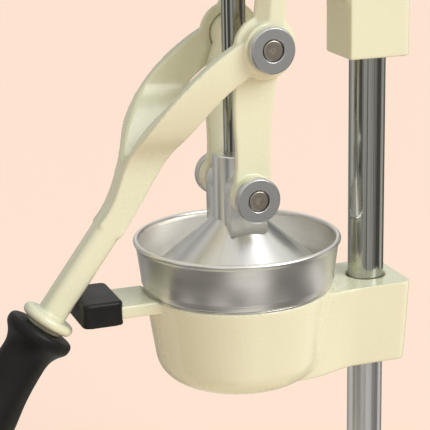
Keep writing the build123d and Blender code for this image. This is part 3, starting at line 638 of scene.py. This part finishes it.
def make_floor():
    """A plain pale floor."""
    bpy.ops.object.select_all(action="DESELECT")
    bpy.ops.mesh.primitive_plane_add(size=60, location=(0, 0, 0))
    floor = bpy.context.object
    floor.name = "floor"
    material = bpy.data.materials.new("pale_floor")
    material.use_nodes = True
    tree = material.node_tree
    shader = tree.nodes["Principled BSDF"]
    shader.inputs["Base Color"].default_value = (*(0.3 * part for part in peach), 1)
    shader.inputs["Roughness"].default_value = 0.9
    shader.inputs["Specular IOR Level"].default_value = 0.0
    shader.inputs["Emission Color"].default_value = (*peach, 1)
    shader.inputs["Emission Strength"].default_value = 0.74
    # Polished steel sees the room here, not the floor.
    clear = tree.nodes.new("ShaderNodeBsdfTransparent")
    path = tree.nodes.new("ShaderNodeLightPath")
    mix = tree.nodes.new("ShaderNodeMixShader")
    tree.links.new(path.outputs["Is Glossy Ray"], mix.inputs["Fac"])
    tree.links.new(shader.outputs["BSDF"], mix.inputs[1])
    tree.links.new(clear.outputs["BSDF"], mix.inputs[2])
    tree.links.new(mix.outputs["Shader"], tree.nodes["Material Output"].inputs["Surface"])
    floor.data.materials.append(material)


def make_light(name, place_at, aim_at, size, power, colour=(1, 1, 1)):
    """A square softbox aimed at a point."""
    data = bpy.data.lights.new(name, "AREA")
    data.size = size
    data.energy = power
    data.color = colour
    light = bpy.data.objects.new(name, data)
    bpy.context.scene.collection.objects.link(light)
    light.location = place_at
    heading = Vector(aim_at) - Vector(place_at)
    light.rotation_euler = heading.to_track_quat("-Z", "Y").to_euler()


def make_sun(name, heading, strength, spread):
    """A wide, soft sun."""
    data = bpy.data.lights.new(name, "SUN")
    data.energy = strength
    data.angle = radians(spread)
    light = bpy.data.objects.new(name, data)
    bpy.context.scene.collection.objects.link(light)
    light.rotation_euler = (-Vector(heading)).to_track_quat("-Z", "Y").to_euler()


def make_world():
    """An even white sky for soft light, and a room of light and dark panels in reflections."""
    world = bpy.data.worlds.new("studio")
    bpy.context.scene.world = world
    world.use_nodes = True
    tree = world.node_tree
    links = tree.links
    even = tree.nodes["Background"]
    even.inputs["Color"].default_value = (0.97, 1.0, 0.98, 1)
    even.inputs["Strength"].default_value = 0.5
    place_node = tree.nodes.new("ShaderNodeTexCoord")
    stretch = tree.nodes.new("ShaderNodeMapping")
    stretch.inputs["Scale"].default_value = (0.9, 0.9, 0.25)
    links.new(place_node.outputs["Generated"], stretch.inputs["Vector"])
    panels = tree.nodes.new("ShaderNodeTexNoise")
    panels.inputs["Scale"].default_value = 2.2
    panels.inputs["Detail"].default_value = 1.0
    links.new(stretch.outputs["Vector"], panels.inputs["Vector"])
    contrast = tree.nodes.new("ShaderNodeMapRange")
    contrast.inputs["From Min"].default_value = 0.40
    contrast.inputs["From Max"].default_value = 0.60
    contrast.inputs["To Min"].default_value = 0.10
    contrast.inputs["To Max"].default_value = 0.80
    links.new(panels.outputs["Fac"], contrast.inputs["Value"])
    parts = tree.nodes.new("ShaderNodeSeparateXYZ")
    links.new(place_node.outputs["Generated"], parts.inputs["Vector"])
    ceiling = tree.nodes.new("ShaderNodeMapRange")
    ceiling.interpolation_type = "SMOOTHSTEP"
    ceiling.inputs["From Min"].default_value = 0.25
    ceiling.inputs["From Max"].default_value = 0.75
    links.new(parts.outputs["Z"], ceiling.inputs["Value"])
    bright = tree.nodes.new("ShaderNodeMix")
    links.new(ceiling.outputs["Result"], bright.inputs["Factor"])
    links.new(contrast.outputs["Result"], bright.inputs["A"])
    bright.inputs["B"].default_value = 0.75
    room = tree.nodes.new("ShaderNodeBackground")
    room.inputs["Color"].default_value = (1.0, 0.975, 0.93, 1)
    links.new(bright.outputs["Result"], room.inputs["Strength"])
    path = tree.nodes.new("ShaderNodeLightPath")
    mix = tree.nodes.new("ShaderNodeMixShader")
    output = tree.nodes["World Output"]
    links.new(path.outputs["Is Glossy Ray"], mix.inputs["Fac"])
    links.new(even.outputs["Background"], mix.inputs[1])
    links.new(room.outputs["Background"], mix.inputs[2])
    links.new(mix.outputs["Shader"], output.inputs["Surface"])


def make_camera():
    """The camera stands to the right of the press, a little to the front and above."""
    turn = radians(68.73)
    tilt = radians(17.97)
    roll = radians(-0.68)
    stand_off = Vector((0.8403, -0.3092, 0.2671))
    look = Vector((-sin(turn) * cos(tilt), cos(turn) * cos(tilt), -sin(tilt)))
    level_right = look.cross(Vector((0, 0, 1))).normalized()
    level_up = level_right.cross(look)
    right = level_right * cos(roll) + level_up * sin(roll)
    up = level_up * cos(roll) - level_right * sin(roll)
    data = bpy.data.cameras.new("camera")
    data.lens = 131.17
    data.sensor_width = 36
    data.shift_x = -0.1173
    data.shift_y = 0.1313
    camera = bpy.data.objects.new("camera", data)
    bpy.context.scene.collection.objects.link(camera)
    turned_axes = Matrix((right, up, -look)).transposed().to_4x4()
    camera.matrix_world = Matrix.Translation(rim + stand_off) @ turned_axes
    bpy.context.scene.camera = camera


make_floor()
make_world()
make_sun("daylight", (0.72, 0.45, 0.62), 1.7, 40)
make_light("key", (1.2, 1.3, 1.5), rim, 0.6, 4)
make_camera()
bpy.context.scene.view_settings.view_transform = "Standard"
